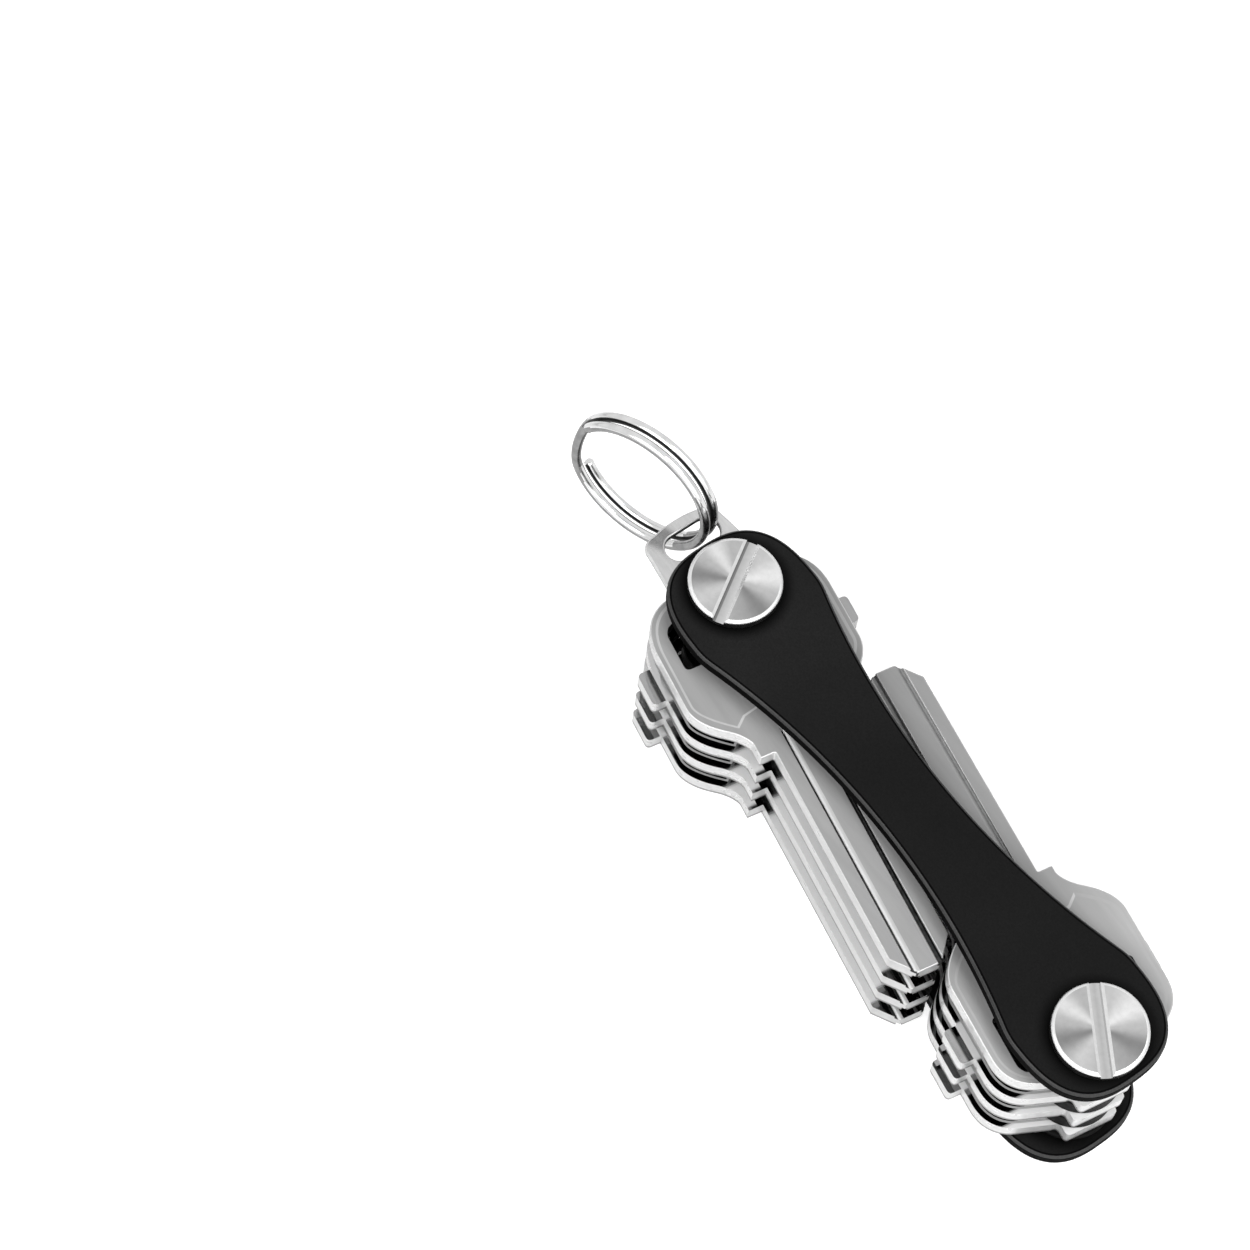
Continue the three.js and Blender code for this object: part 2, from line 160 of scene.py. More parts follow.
# cuts and joins run on throwaway objects, then the finished mesh is taken off them
def carve(mesh, cutters, joins=(), bevel=0.0, segments=2, angle=35, edgeSlot=-1):
    for _ in range(spareSlots):
        mesh.materials.append(None)
    work = bpy.data.objects.new("work", mesh)
    scene.collection.objects.link(work)
    helpers = []
    for how, parts in (("UNION", joins), ("DIFFERENCE", cutters)):
        for part in parts:
            tool = bpy.data.objects.new("tool", part)
            scene.collection.objects.link(tool)
            helpers.append(tool)
            cut = work.modifiers.new("cut", "BOOLEAN")
            cut.operation = how
            cut.solver = "EXACT"
            cut.object = tool
    if bevel:
        soft = work.modifiers.new("soft", "BEVEL")
        soft.width = bevel
        soft.segments = segments
        soft.limit_method = "ANGLE"
        soft.angle_limit = math.radians(angle)
        soft.miter_outer = "MITER_ARC"
        soft.material = edgeSlot
        weigh = work.modifiers.new("weigh", "WEIGHTED_NORMAL")
        weigh.mode = "FACE_AREA"
        weigh.weight = 100
    depsgraph = bpy.context.evaluated_depsgraph_get()
    result = bpy.data.meshes.new_from_object(work.evaluated_get(depsgraph))
    for item in helpers + [work]:
        bpy.data.objects.remove(item)
    return result


def finishMesh(name, mesh, materials, smooth=0):  # carved meshes keep the normals they came with
    mesh.transform(Matrix.Scale(mm, 4))
    mesh.name = name
    while len(mesh.materials) > len(materials):
        mesh.materials.pop(index=len(mesh.materials) - 1)
    for i, material in enumerate(materials):
        if i < len(mesh.materials):
            mesh.materials[i] = material
        else:
            mesh.materials.append(material)
    if smooth:
        mesh.shade_smooth()
        mesh.set_sharp_from_angle(angle=math.radians(smooth))
    return mesh


def place(name, mesh, node, body, x=0.0, z=0.0, turn=0.0):
    mesh.transform(Matrix.Rotation(math.radians(turn), 4, "Z"))
    obj = bpy.data.objects.new(name, mesh)
    scene.collection.objects.link(obj)
    obj.location = (x * mm, 0, z * mm)
    bpy.context.view_layer.update()
    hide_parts(node)
    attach(obj, body)


# node helpers
def addNode(tree, kind, inputs=None, **settings):
    node = tree.nodes.new(kind)
    for key, value in settings.items():
        setattr(node, key, value)
    for key, value in (inputs or {}).items():
        node.inputs[key].default_value = value
    return node


def newFinish(name):
    material = bpy.data.materials.new(name)
    material.use_nodes = True
    tree = material.node_tree
    coords = addNode(tree, "ShaderNodeTexCoord").outputs["Object"]
    return material, tree, tree.nodes["Principled BSDF"], coords


def grey(v):
    return (v, v, v, 1)


def spread(low, high):  # stops for noise, which keeps to the middle of its range
    return [(0.3, low), (0.7, high)]


def setRamp(node, stops, ease="LINEAR"):
    ramp = node.color_ramp
    ramp.interpolation = ease
    while len(ramp.elements) > 1:
        ramp.elements.remove(ramp.elements[-1])
    ramp.elements[0].position = stops[0][0]
    ramp.elements[0].color = grey(stops[0][1])
    for position, value in stops[1:]:
        ramp.elements.new(position).color = grey(value)


def noiseRamp(tree, coords, scale, detail, stops, stretch=(1, 1, 1)):
    mapping = addNode(tree, "ShaderNodeMapping", {"Scale": stretch})
    noise = addNode(tree, "ShaderNodeTexNoise", {"Scale": scale, "Detail": detail})
    ramp = addNode(tree, "ShaderNodeValToRGB")
    setRamp(ramp, stops)
    tree.links.new(coords, mapping.inputs["Vector"])
    tree.links.new(mapping.outputs["Vector"], noise.inputs["Vector"])
    tree.links.new(noise.outputs["Fac"], ramp.inputs["Fac"])
    return noise, ramp


def axisRamp(tree, coords, axis, stops, ease="LINEAR"):  # grey by place along one axis, stops in mm
    low, high = stops[0][0], stops[-1][0]
    split = addNode(tree, "ShaderNodeSeparateXYZ")
    span = addNode(tree, "ShaderNodeMapRange", {1: low * mm, 2: high * mm})
    ramp = addNode(tree, "ShaderNodeValToRGB")
    setRamp(ramp, [((at - low) / (high - low), value) for at, value in stops], ease)
    tree.links.new(coords, split.inputs[0])
    tree.links.new(split.outputs[axis], span.inputs[0])
    tree.links.new(span.outputs[0], ramp.inputs["Fac"])
    return ramp.outputs["Color"]


def ownAxes(tree, coords, turn):  # the piece's axes as they were before place turned it
    aligned = addNode(tree, "ShaderNodeMapping")
    aligned.inputs["Rotation"].default_value = (0, 0, math.radians(-turn))
    tree.links.new(coords, aligned.inputs["Vector"])
    return aligned.outputs["Vector"]


def calc(tree, how, a, b=None, c=None):  # one sum on links or plain numbers
    node = addNode(tree, "ShaderNodeMath", operation=how)
    for i, value in enumerate((a, b, c)):
        if isinstance(value, (int, float)):
            node.inputs[i].default_value = value
        elif value is not None:
            tree.links.new(value, node.inputs[i])
    return node.outputs[0]


def lengthOf(tree, vector):
    node = addNode(tree, "ShaderNodeVectorMath", operation="LENGTH")
    tree.links.new(vector, node.inputs[0])
    return node.outputs["Value"]


def smoothFade(tree, value, low, high, start=0.0, end=1.0):
    node = addNode(tree, "ShaderNodeMapRange", {1: low, 2: high, 3: start, 4: end})
    node.interpolation_type = "SMOOTHSTEP"
    tree.links.new(value, node.inputs[0])
    return node.outputs[0]


def multiply(tree, a, b):
    mix = addNode(tree, "ShaderNodeMix", {0: 1.0}, data_type="RGBA", blend_type="MULTIPLY")
    tree.links.new(a, mix.inputs[6])
    tree.links.new(b, mix.inputs[7])
    return mix.outputs[2]


def addBump(tree, shader, height, strength, distance):
    bump = addNode(tree, "ShaderNodeBump", {"Strength": strength, "Distance": distance})
    tree.links.new(height, bump.inputs["Height"])
    tree.links.new(bump.outputs["Normal"], shader.inputs["Normal"])


# black plate: matte coat with a fine grain, with painted shade close round the screw heads
plateLook = {
    "face": (0.0068, 0.0102), "grain": 5200, "coarse": 0.4, "bump": (0.35, 0.00003),
    "blotch": 90, "blotchTone": (0.78, 1.0), "headShadeFrom": 5.5, "headShadeTo": 7.3,
    "fade": [(-40, 1.0), (-22, 0.97), (-5, 0.6), (40, 0.6)],
}


def blackCoat(name, lift, gloss, rough, rings=False):
    material, tree, shader, coords = newFinish(name)
    look = plateLook
    low, high = (v * lift for v in look["face"])
    grain, grainRamp = noiseRamp(tree, coords, look["grain"], 3, spread(low, high))
    _, blotchRamp = noiseRamp(tree, coords, look["blotch"], 4, spread(*look["blotchTone"]))
    tone = multiply(tree, grainRamp.outputs["Color"], blotchRamp.outputs["Color"])
    if rings:
        # painted shade: the coat darkens in a ring round each screw head
        split = addNode(tree, "ShaderNodeSeparateXYZ")
        tree.links.new(coords, split.inputs[0])
        side = calc(tree, "ABSOLUTE", split.outputs["X"])
        flat = addNode(tree, "ShaderNodeCombineXYZ")
        tree.links.new(calc(tree, "SUBTRACT", side, stack["postX"] * mm), flat.inputs["X"])
        tree.links.new(split.outputs["Y"], flat.inputs["Y"])
        reach = lengthOf(tree, flat.outputs[0])
        tone = multiply(tree, tone, smoothFade(tree, reach, look["headShadeFrom"] * mm, look["headShadeTo"] * mm))
        tone = multiply(tree, tone, axisRamp(tree, coords, "X", look["fade"]))  # paler towards the loop end
    tree.links.new(tone, shader.inputs["Base Color"])
    _, roughRamp = noiseRamp(tree, coords, look["grain"] * look["coarse"], 3, spread(*rough))
    tree.links.new(roughRamp.outputs["Color"], shader.inputs["Roughness"])
    shader.inputs["Specular IOR Level"].default_value = gloss
    addBump(tree, shader, grain.outputs["Fac"], *look["bump"])
    return material


plateFinish = blackCoat("plateCoat", lift=1.76, gloss=0.06, rough=(0.46, 0.62), rings=True)
# painted highlight on the plates' rounded edges, painted shade on their walls
plateBevelHighlightFinish = blackCoat("plateBevelHighlightCoat", lift=5.6, gloss=0.15, rough=(0.35, 0.45))
plateWallShadeFinish = blackCoat("plateWallShadeCoat", lift=0.2, gloss=0.02, rough=(0.6, 0.75))
nylonFinish = blackCoat("spacerNylon", lift=0.5, gloss=0.08, rough=(0.55, 0.7))

# turned steel: fine rings, and a painted reflection of the light and dark wedges that turned metal shows
# on both sides of the slot
turnedLook = {
    "glintWedges": [(0.0, 0.5), (0.075, 0.42), (0.169, 0.27), (0.25, 0.55), (0.33, 0.86), (0.444, 0.6),
               (0.5, 0.55), (0.572, 0.5), (0.644, 0.8), (0.708, 0.52), (0.786, 0.27), (0.892, 0.64),
               (1.0, 0.5)],
    "rings": {"Scale": 2600, "Distortion": 0.4, "Detail": 1.0}, "bump": (0.12, 0.00001),
    "streak": 1400, "streakStops": [(0.25, 0.9), (0.75, 1.0)], "rough": 0.16, "spin": 0.3,
    "turns": {"loop": 122, "tail": 148},
    "slotShade": {"loop": [(-0.65, 0.66), (0.1, 0.54), (0.3, 0.5), (0.4, 0.22), (0.65, 0.22)],
              "tail": [(-0.65, 0.62), (0.0, 0.5), (0.65, 0.62)]},
}


def turnedSteel(end):
    material, tree, shader, coords = newFinish(end + "TurnedSteel")
    look = turnedLook
    sweep = addNode(tree, "ShaderNodeTexGradient", gradient_type="RADIAL")
    tree.links.new(ownAxes(tree, coords, look["turns"][end]), sweep.inputs["Vector"])
    # painted reflection: light and dark wedges round the screw's axis
    glintRamp = addNode(tree, "ShaderNodeValToRGB")
    setRamp(glintRamp, look["glintWedges"], "EASE")
    tree.links.new(sweep.outputs["Fac"], glintRamp.inputs["Fac"])
    _, streak = noiseRamp(tree, coords, look["streak"], 2, look["streakStops"])
    tone = multiply(tree, glintRamp.outputs["Color"], streak.outputs["Color"])
    tree.links.new(tone, shader.inputs["Base Color"])
    rings = addNode(tree, "ShaderNodeTexWave", look["rings"], wave_type="RINGS", rings_direction="Z")
    tree.links.new(coords, rings.inputs["Vector"])
    addBump(tree, shader, rings.outputs["Fac"], *look["bump"])
    shader.inputs["Metallic"].default_value = 1.0
    shader.inputs["Roughness"].default_value = look["rough"]
    shader.inputs["Anisotropic"].default_value = look["spin"]
    tangent = addNode(tree, "ShaderNodeTangent", direction_type="RADIAL", axis="Z")
    tree.links.new(tangent.outputs["Tangent"], shader.inputs["Tangent"])
    return material


coarseShare = 0.3  # roughness varies more slowly than tone
grainHeight = 0.00002


# plain bright metals: noise drives tone and roughness, shades darken them along an axis
def brightMetal(name, tone, rough, scale, stretch=(1, 1, 1), bump=0.0, shades=(), turn=0.0, metal=1.0):
    material, tree, shader, coords = newFinish(name)
    noise, ramp = noiseRamp(tree, coords, scale, 4, spread(*tone), stretch)
    color = ramp.outputs["Color"]
    for axis, stops in shades:
        color = multiply(tree, color, axisRamp(tree, ownAxes(tree, coords, turn), axis, stops))
    tree.links.new(color, shader.inputs["Base Color"])
    _, roughRamp = noiseRamp(tree, coords, scale * coarseShare, 3, spread(*rough), stretch)
    tree.links.new(roughRamp.outputs["Color"], shader.inputs["Roughness"])
    shader.inputs["Metallic"].default_value = metal
    if bump:
        addBump(tree, shader, noise.outputs["Fac"], bump, grainHeight)
    return material


# painted shade across each screw slot, darker along one side or in the middle
def slotSteel(end):
    across = ("Y", turnedLook["slotShade"][end])
    turn = turnedLook["turns"][end]
    return brightMetal(end + "ScrewSlot", (0.92, 1.0), (0.12, 0.18), 1500, shades=[across], turn=turn)


alongKey = (0.12, 1, 1)  # noise drawn out along the blade

# lower keys: polished faces, with painted light on the flanks in some stretches, pale, less metallic and
# rougher, where the gaps between the keys look lit; ears left polished; distances across the key are
# shifted and scaled so that a ramp can hold them
paintedLightLook = {
    "tone": (0.34, 0.4), "grain": 900, "rough": (0.05, 0.08), "roughGrain": 300,
    "flank": 0.82, "dull": 0.35, "metalDrop": 0.92, "span": 20.0, "shift": 5.0, "ear": 11.4,
    "loop": {"side": -1, "inner": 7.7, "edge": [(-6, 8.6), (12, 5.0), (19.3, 2.7), (50, 2.7)],
             "paintedLitStretch": [(-6, 1), (6.6, 1), (7.2, 0), (15.3, 0), (15.9, 1), (18.8, 1), (19.2, 0),
                      (20.4, 0), (21.2, 1), (46.2, 1), (46.6, 0), (50, 0)]},
    "tail": {"side": 1, "inner": 3.0, "edge": [(-6, -4.0), (-0.6, 9.5), (50, 9.5)],
             "paintedLitStretch": [(-6, 1), (-0.9, 1), (-0.4, 0), (4.9, 0), (5.2, 1), (9.7, 1), (10.0, 0),
                      (50, 0)]},
}


def paintedLightSteel(end, w):
    material, tree, shader, coords = newFinish(end + "PaintedLightSteel")
    own = w[end]
    aligned = ownAxes(tree, coords, keyTurn[end])
    split = addNode(tree, "ShaderNodeSeparateXYZ")
    tree.links.new(aligned, split.inputs[0])
    shift, span = w["shift"], w["span"]
    across = calc(tree, "MULTIPLY_ADD", split.outputs["Y"], own["side"] / (span * mm), shift / span)
    edge = axisRamp(tree, aligned, "X", [(x, (y + shift) / span) for x, y in own["edge"]], "CONSTANT")
    flank = calc(tree, "GREATER_THAN", across, edge)
    paintedLit = calc(tree, "MULTIPLY", flank, axisRamp(tree, aligned, "X", own["paintedLitStretch"]))
    onEar = calc(tree, "GREATER_THAN", across, (w["ear"] + shift) / span)
    paintedLit = calc(tree, "MULTIPLY", paintedLit, calc(tree, "SUBTRACT", 1.0, onEar))
    _, toneRamp = noiseRamp(tree, coords, w["grain"], 4, spread(*w["tone"]), alongKey)
    mix = addNode(tree, "ShaderNodeMix", data_type="RGBA")
    tree.links.new(paintedLit, mix.inputs[0])
    tree.links.new(toneRamp.outputs["Color"], mix.inputs[6])
    mix.inputs[7].default_value = grey(w["flank"])
    outer = calc(tree, "GREATER_THAN", lengthOf(tree, coords), own["inner"] * mm)  # painted shade inside the stack, near the spacers
    tree.links.new(multiply(tree, mix.outputs[2], outer), shader.inputs["Base Color"])
    _, roughRamp = noiseRamp(tree, coords, w["roughGrain"], 3, spread(*w["rough"]))
    rough = calc(tree, "MULTIPLY_ADD", paintedLit, w["dull"], roughRamp.outputs["Color"])
    tree.links.new(rough, shader.inputs["Roughness"])
    metal = calc(tree, "MULTIPLY_ADD", paintedLit, -w["metalDrop"], 1.0)
    tree.links.new(metal, shader.inputs["Metallic"])
    return material


wallFootShade = ("Z", [(0.0, 0.22), (0.26, 0.34), (0.55, 1.0)])  # painted shade along the lower edge of each cut wall
tailLightAlong = ("X", [(-50, 0.58), (-20, 0.64), (-8, 0.9), (5, 1.0)])  # painted light: brighter at the post end
# painted light: the tail keys are lighter on their far side
tailLightAcross = ("Y", [(-12, 0.86), (-5, 0.86), (2, 0.9), (12, 0.98)])
satin = {"rough": (0.3, 0.4), "stretch": alongKey, "metal": 0.2}
litWall = {"rough": (0.25, 0.35), "scale": 1600, "shades": [wallFootShade], "metal": 0.4}
mirrorFace = {"rough": (0.05, 0.08), "scale": 900, "stretch": alongKey}

turnedFinish = {end: turnedSteel(end) for end in postAt}
slotFinish = {end: slotSteel(end) for end in postAt}
paintedLightFinish = {end: paintedLightSteel(end, paintedLightLook) for end in postAt}
rimFinish = brightMetal("screwRim", tone=(0.68, 0.76), rough=(0.32, 0.42), scale=1800)
lipFinish = brightMetal("slotLip", tone=(0.66, 0.74), rough=(0.16, 0.28), scale=1800)
screwSideShadeFinish = brightMetal("screwSideShade", tone=(0.08, 0.14), rough=(0.3, 0.4), scale=1800)
postFinish = brightMetal("postSteel", tone=(0.6, 0.72), rough=(0.25, 0.4), scale=1300)
faceFinish = {
    "loop": brightMetal("keySatin", tone=(0.335, 0.385), scale=900, bump=0.05, **satin),
    # the tail keys' face is painted lighter towards the post end and the far side
    "tail": brightMetal("tailKeySatin", tone=(0.52, 0.58), scale=900, bump=0.05,
                        shades=[tailLightAlong, tailLightAcross], **satin),
}
# painted light: key and tab walls are much lighter than the faces, the blade's walls a little less
keyWallLightFinish = brightMetal("keyWallLight", tone=(0.6, 0.7), **litWall)
bladeWallLightFinish = brightMetal("keyBladeWallLight", tone=(0.52, 0.6), stretch=alongKey, **litWall)
keyUnderFinish = brightMetal("keyUnderside", tone=(0.34, 0.4), **mirrorFace)
# painted shade: the walls of key holes and the tab's eye are near black
holeShadeFinish = brightMetal("keyHoleShade", tone=(0.01, 0.03), rough=(0.4, 0.55), scale=1500)
# painted shade in the blade grooves, lighter on the tail keys
grooveShadeFinish = {
    "loop": brightMetal("keyGrooveShade", tone=(0.02, 0.06), rough=(0.4, 0.55), scale=1500),
    "tail": brightMetal("tailKeyGrooveShade", tone=(0.2, 0.26), rough=(0.3, 0.4), scale=1500, metal=0.2),
}
# painted light on the sloped sides of the panels and grooves, strongest where they face outward
slopeHighlightFinish = brightMetal("keySlopeHighlight", tone=(0.58, 0.66), scale=1500, **satin)
slopeLightFinish = {
    "loop": brightMetal("loopKeySlopeLight", tone=(0.5, 0.58), scale=1500, **satin),
    "tail": brightMetal("tailKeySlopeLight", tone=(0.53, 0.58), scale=1500, shades=[tailLightAlong], **satin),
}
tabStretch = (0.2, 1, 1)
tabFinish = brightMetal("tabSteel", (0.54, 0.64), (0.12, 0.2), 1100, stretch=tabStretch, bump=0.03)
wireFinish = brightMetal("wirePlating", tone=(0.62, 0.74), rough=(0.1, 0.2), scale=700)
wireShadeFinish = brightMetal("wireCreaseShade", tone=(0.02, 0.05), rough=(0.4, 0.5), scale=900)
wireUnderShadeFinish = brightMetal("wireUndersideShade", tone=(0.2, 0.3), rough=(0.2, 0.3), scale=900)
print("finishes made")

# plates
plateSpec = {
    "endRadius": 8.7, "endX": 29.0, "waist": 8.96, "nose": 10.35, "nosePower": 2.68,
    "shoulderSteps": 8, "noseSteps": 72, "flankSteps": 40, "hole": 2.58, "holeSteps": 64,
    "bevel": 0.55, "highlightFrom": 0.5, "highlightTo": 0.95,
}


def plateOutline(s):
    r, endX, half = s["endRadius"], s["endX"], s["waist"] / 2
    flank = (endX ** 2 + half ** 2 - r ** 2) / (2 * (r - half))
    lean = math.degrees(math.atan2(endX, half + flank))
    points = arc(endX, 0, r, -90 - lean, -90, s["shoulderSteps"])[:-1]
    for k in range(s["noseSteps"]):
        a = math.radians(-90 + 180 * k / s["noseSteps"])
        along = math.cos(a) ** (2 / s["nosePower"])
        across = math.copysign(abs(math.sin(a)) ** (2 / s["nosePower"]), a)
        points.append((endX + s["nose"] * along, r * across))
    points += arc(endX, 0, r, 90, 90 + lean, s["shoulderSteps"])[:-1]
    points += arc(0, half + flank, flank, -90 + lean, -90 - lean, s["flankSteps"])[:-1]
    return points + [(-x, -y) for x, y in points]


def buildPlate(name, node, z, s):
    cutters = []
    for x in postAt.values():
        hole = arc(x, 0, s["hole"], 0, 360, s["holeSteps"])[:-1]
        cutters.append(prismMesh(hole, -overrun, stack["plate"] + overrun))
    body = prismMesh(plateOutline(s), 0, stack["plate"])
    mesh = carve(body, cutters, bevel=s["bevel"], segments=4, angle=50, edgeSlot=1)
    mesh = finishMesh(name + "Body", mesh, [plateFinish, plateBevelHighlightFinish, plateWallShadeFinish])
    for face in mesh.polygons:  # the bevel came with slot 1
        paintedBand = s["highlightFrom"] < face.normal.z < s["highlightTo"]  # painted highlight on the middle of the rounded edge; the other tilted faces get painted shade
        if abs(face.normal.z) < levelLimit and not paintedBand:
            face.material_index = 2
    place(name, mesh, node, "frame", z=z)


buildPlate("rearPlate", "rear_plate", 0, plateSpec)
buildPlate("frontPlate", "front_plate", frontPlateZ, plateSpec)
print("plates placed")

# coin screws and posts
screwSpec = {
    "radius": 5.5, "height": 1.4, "chamfer": 0.44, "foot": 0.12, "land": 0.05, "steps": 112, "smooth": 25,
    "slotWidth": 1.3, "slotDepth": 0.7, "slotReach": 7, "lip": 0.34, "lipDrop": 0.2,
    "shank": 1.6, "shankEnd": 0.3, "shankLength": 12.0,
    "rimMargin": 0.02, "rimLean": 0.25, "lipFrom": 0.05, "lipTo": 0.97,
}
postSpec = {
    "radius": 2.5, "head": 5.5, "headHeight": 1.2, "chamfer": 0.4, "under": 0.05, "ease": 0.2,
    "bore": 1.7, "boreDepth": 13.5, "setback": 0.3, "steps": 96, "smooth": 32,
}


def roundedRim(r, top, chamfer, steps=5):  # the rim rolls over instead of breaking at two corners
    points = []
    for k in range(steps + 1):
        a = math.radians(90 * k / steps)
        points.append((r - chamfer + chamfer * math.cos(a), top - chamfer + chamfer * math.sin(a)))
    return points


def buildScrew(end, spec):
    radius, top, shank, foot = spec["radius"], spec["height"], spec["shank"], spec["foot"]
    low = -spec["shankLength"]
    rim = roundedRim(radius, top, spec["chamfer"])
    profile = [(0, low), (shank - spec["shankEnd"], low), (shank, low + spec["shankEnd"]), (shank, 0),
               (radius - foot, 0), (radius, foot)] + rim + [(rim[-1][0] - spec["land"], top), (0, top)]
    body = latheMesh(profile, spec["steps"])
    half, base = spec["slotWidth"] / 2, top - spec["slotDepth"]
    wide, drop = half + 2 * spec["lip"], spec["lipDrop"]
    section = [(-half, base), (half, base), (half, top - drop), (wide, top + drop), (wide, top + overrun),
               (-wide, top + overrun), (-wide, top + drop), (-half, top - drop)]
    slot = barMesh(section, -spec["slotReach"], spec["slotReach"])
    slot.transform(Matrix.Rotation(math.radians(turnedLook["turns"][end]), 4, "Z"))
    mesh = carve(body, [slot])
    finishes = [turnedFinish[end], rimFinish, slotFinish[end], lipFinish, screwSideShadeFinish]  # slots 0 to 4
    mesh = finishMesh(end + "ScrewBody", mesh, finishes, spec["smooth"])
    for face in mesh.polygons:
        c, n = face.center / mm, face.normal
        outer = math.hypot(c.x, c.y) > radius - spec["chamfer"] - spec["rimMargin"]
        if outer and c.z > 0 and c.x * n.x + c.y * n.y > 0:
            # the rim keeps the steel; the side wall below it gets painted shade
            face.material_index = 1 if n.z > spec["rimLean"] else 4
        elif spec["lipFrom"] < n.z < spec["lipTo"]:
            face.material_index = 3
        elif 0 < c.z < top - spec["land"]:
            face.material_index = 2
    place(end + "Screw", mesh, end + "_screw", "frame", x=postAt[end], z=stackTop)


def buildPost(end, spec):
    top, floor = stackTop - spec["setback"], stackTop - spec["boreDepth"]
    headR, low, r, bore = spec["head"], -spec["headHeight"], spec["radius"], spec["bore"]
    under, ease = spec["under"], spec["ease"]
    rim = [(x, low - z) for x, z in reversed(roundedRim(headR, 0, spec["chamfer"]))]
    profile = [(0, low)] + rim + [
        (headR, -under), (headR - under, 0), (r, 0), (r, top - ease), (r - ease, top),
        (bore + ease, top), (bore, top - ease), (bore, floor), (0, floor)]
    mesh = finishMesh(end + "PostBody", latheMesh(profile, spec["steps"]), [postFinish], spec["smooth"])
    place(end + "Post", mesh, end + "_post", "frame", x=postAt[end])


for end in postAt:
    buildScrew(end, screwSpec)
    buildPost(end, postSpec)
print("screws and posts placed")

# spacers and washers
ringSpec = {"bore": 2.58, "spacer": 4.8, "washer": 5.2, "edge": 0.15, "steps": 80, "smooth": 32}


def ringBody(name, outer, height):
    e, bore = ringSpec["edge"], ringSpec["bore"]
    profile = [(bore, e), (bore + e, 0), (outer - e, 0), (outer, e), (outer, height - e),
               (outer - e, height), (bore + e, height), (bore, height - e), (bore, e)]
    return finishMesh(name, latheMesh(profile, ringSpec["steps"]), [nylonFinish], ringSpec["smooth"])


for end, x in postAt.items():
    washer = ringBody(end + "RearWasherBody", ringSpec["washer"], stack["rearWasher"])
    z = stack["plate"] + stack["running"]
    place(end + "RearWasher", washer, end + "_rear_washer", "frame", x=x, z=z)
    for i in (1, 2, 3):
        z = rearKeyZ + (4 - i) * stack["pitch"] - stack["running"] - stack["spacer"]
        body = ringBody(end + "SpacerBody" + str(i), ringSpec["spacer"], stack["spacer"])
        place(end + "Spacer" + str(i), body, end + "_spacer_" + str(i), "frame", x=x, z=z)
frontWasher = ringBody("tailFrontWasherBody", ringSpec["washer"], stack["tab"])
place("tailFrontWasher", frontWasher, "tail_front_washer", "frame", postAt["tail"], tabZ)
print("spacers placed")

# keys: post at the local origin, blade along +X
keySpec = {
    "headHalf": 11.2, "sideStart": 3.3, "neckLead": 4.4, "rake": 1.2, "drop": 4.1, "back": 2.9,
    "backRound": 0.7, "bulge": 2.2, "neckHalf": 8.5, "collarLead": 2.8, "collarEase": 1.4,
    "collarLift": 0.4, "collarHalf": 6.2, "tabHalf": 3.3, "tabRound": 0.6,
    "bladeWidth": 7.5, "bladeOffset": -0.6, "reach": 49.6, "tip": 2.7, "tipFlat": 3.0,
    "earRound": 0.6, "earRoot": 10.0, "earTrim": 0.01,
    "holeRear": -2.75, "holeRearHalf": 2.1, "holeSlope": 3.2, "holeRearRound": 0.6,
    "holeHalf": 8.8, "holeRound": 0.5, "border": 0.5, "sink": 0.26, "sinkOver": 0.06, "sinkDraw": 0.42,
    "panelPoint": 1.1, "panelPointHalf": 5.4, "panelCorner": 6.75, "panelEase": 0.4,
    "grooveStart": 15.6, "runOut": 1.6, "wideGroove": (-2.6, 0.32, 0.85, 0.4),
    "narrowGroove": (0.85, 0.6, 0.7), "edge": 0.17, "margin": 0.3,
}
headSpec = {
    "loop": {"shoulder": -1.7, "end": -5.55, "neckX": 14.7, "collarX": 19.4, "holeFront": 5.95,
             "panelFront": 14.1, "ear": (2.3, 4.3, 1.8), "farEar": (3.2, 3.5, 2.6)},
    "tail": {"shoulder": -0.6, "end": -4.8, "neckX": 16.5, "collarX": 20.3, "holeFront": 7.2,
             "panelFront": 15.4, "ear": (5.3, 4.3, 1.8), "farEar": (5.3, 4.3, 1.8)},
}
keyParts = ["face", "edge", "hole", "groove", "slope", "bright", "blade", "under", "paleGroove"]


def keyOutline(s, head):
    endX, shoulder, neckX = head["end"], head["shoulder"], head["neckX"]
    sideEnd, collarStart = neckX - s["neckLead"], neckX + s["collarLead"]
    a = [(endX, s["tabHalf"] - s["tabRound"])]
    a += bend(a[-1], (endX, s["tabHalf"]), (endX + s["tabRound"], s["tabHalf"]), 6)
    a.append((-s["back"] - s["backRound"], s["tabHalf"]))
    a += bend(a[-1], (-s["back"], s["tabHalf"]), (-s["back"], s["tabHalf"] + s["backRound"]), 6)
    a.append((shoulder - s["rake"], s["headHalf"] - s["drop"]))
    a += bend(a[-1], (shoulder, s["headHalf"]), (s["sideStart"], s["headHalf"]), 20)
    a.append((sideEnd, s["headHalf"]))
    a += bend(a[-1], (sideEnd + s["bulge"], s["headHalf"]), (neckX, s["neckHalf"]), 16)
    pull = (collarStart - s["collarEase"], s["collarHalf"] + s["collarLift"])
    a += bend(a[-1], pull, (collarStart, s["collarHalf"]), 12)
    a.append((head["collarX"], s["collarHalf"]))
    y, half, tipX = s["bladeOffset"], s["bladeWidth"] / 2, s["reach"] - s["tip"]
    blade = [(head["collarX"], y + half), (tipX, y + half), (s["reach"], y + s["tipFlat"] / 2),
             (s["reach"], y - s["tipFlat"] / 2), (tipX, y - half), (head["collarX"], y - half)]
    return a + blade + mirrored(a)


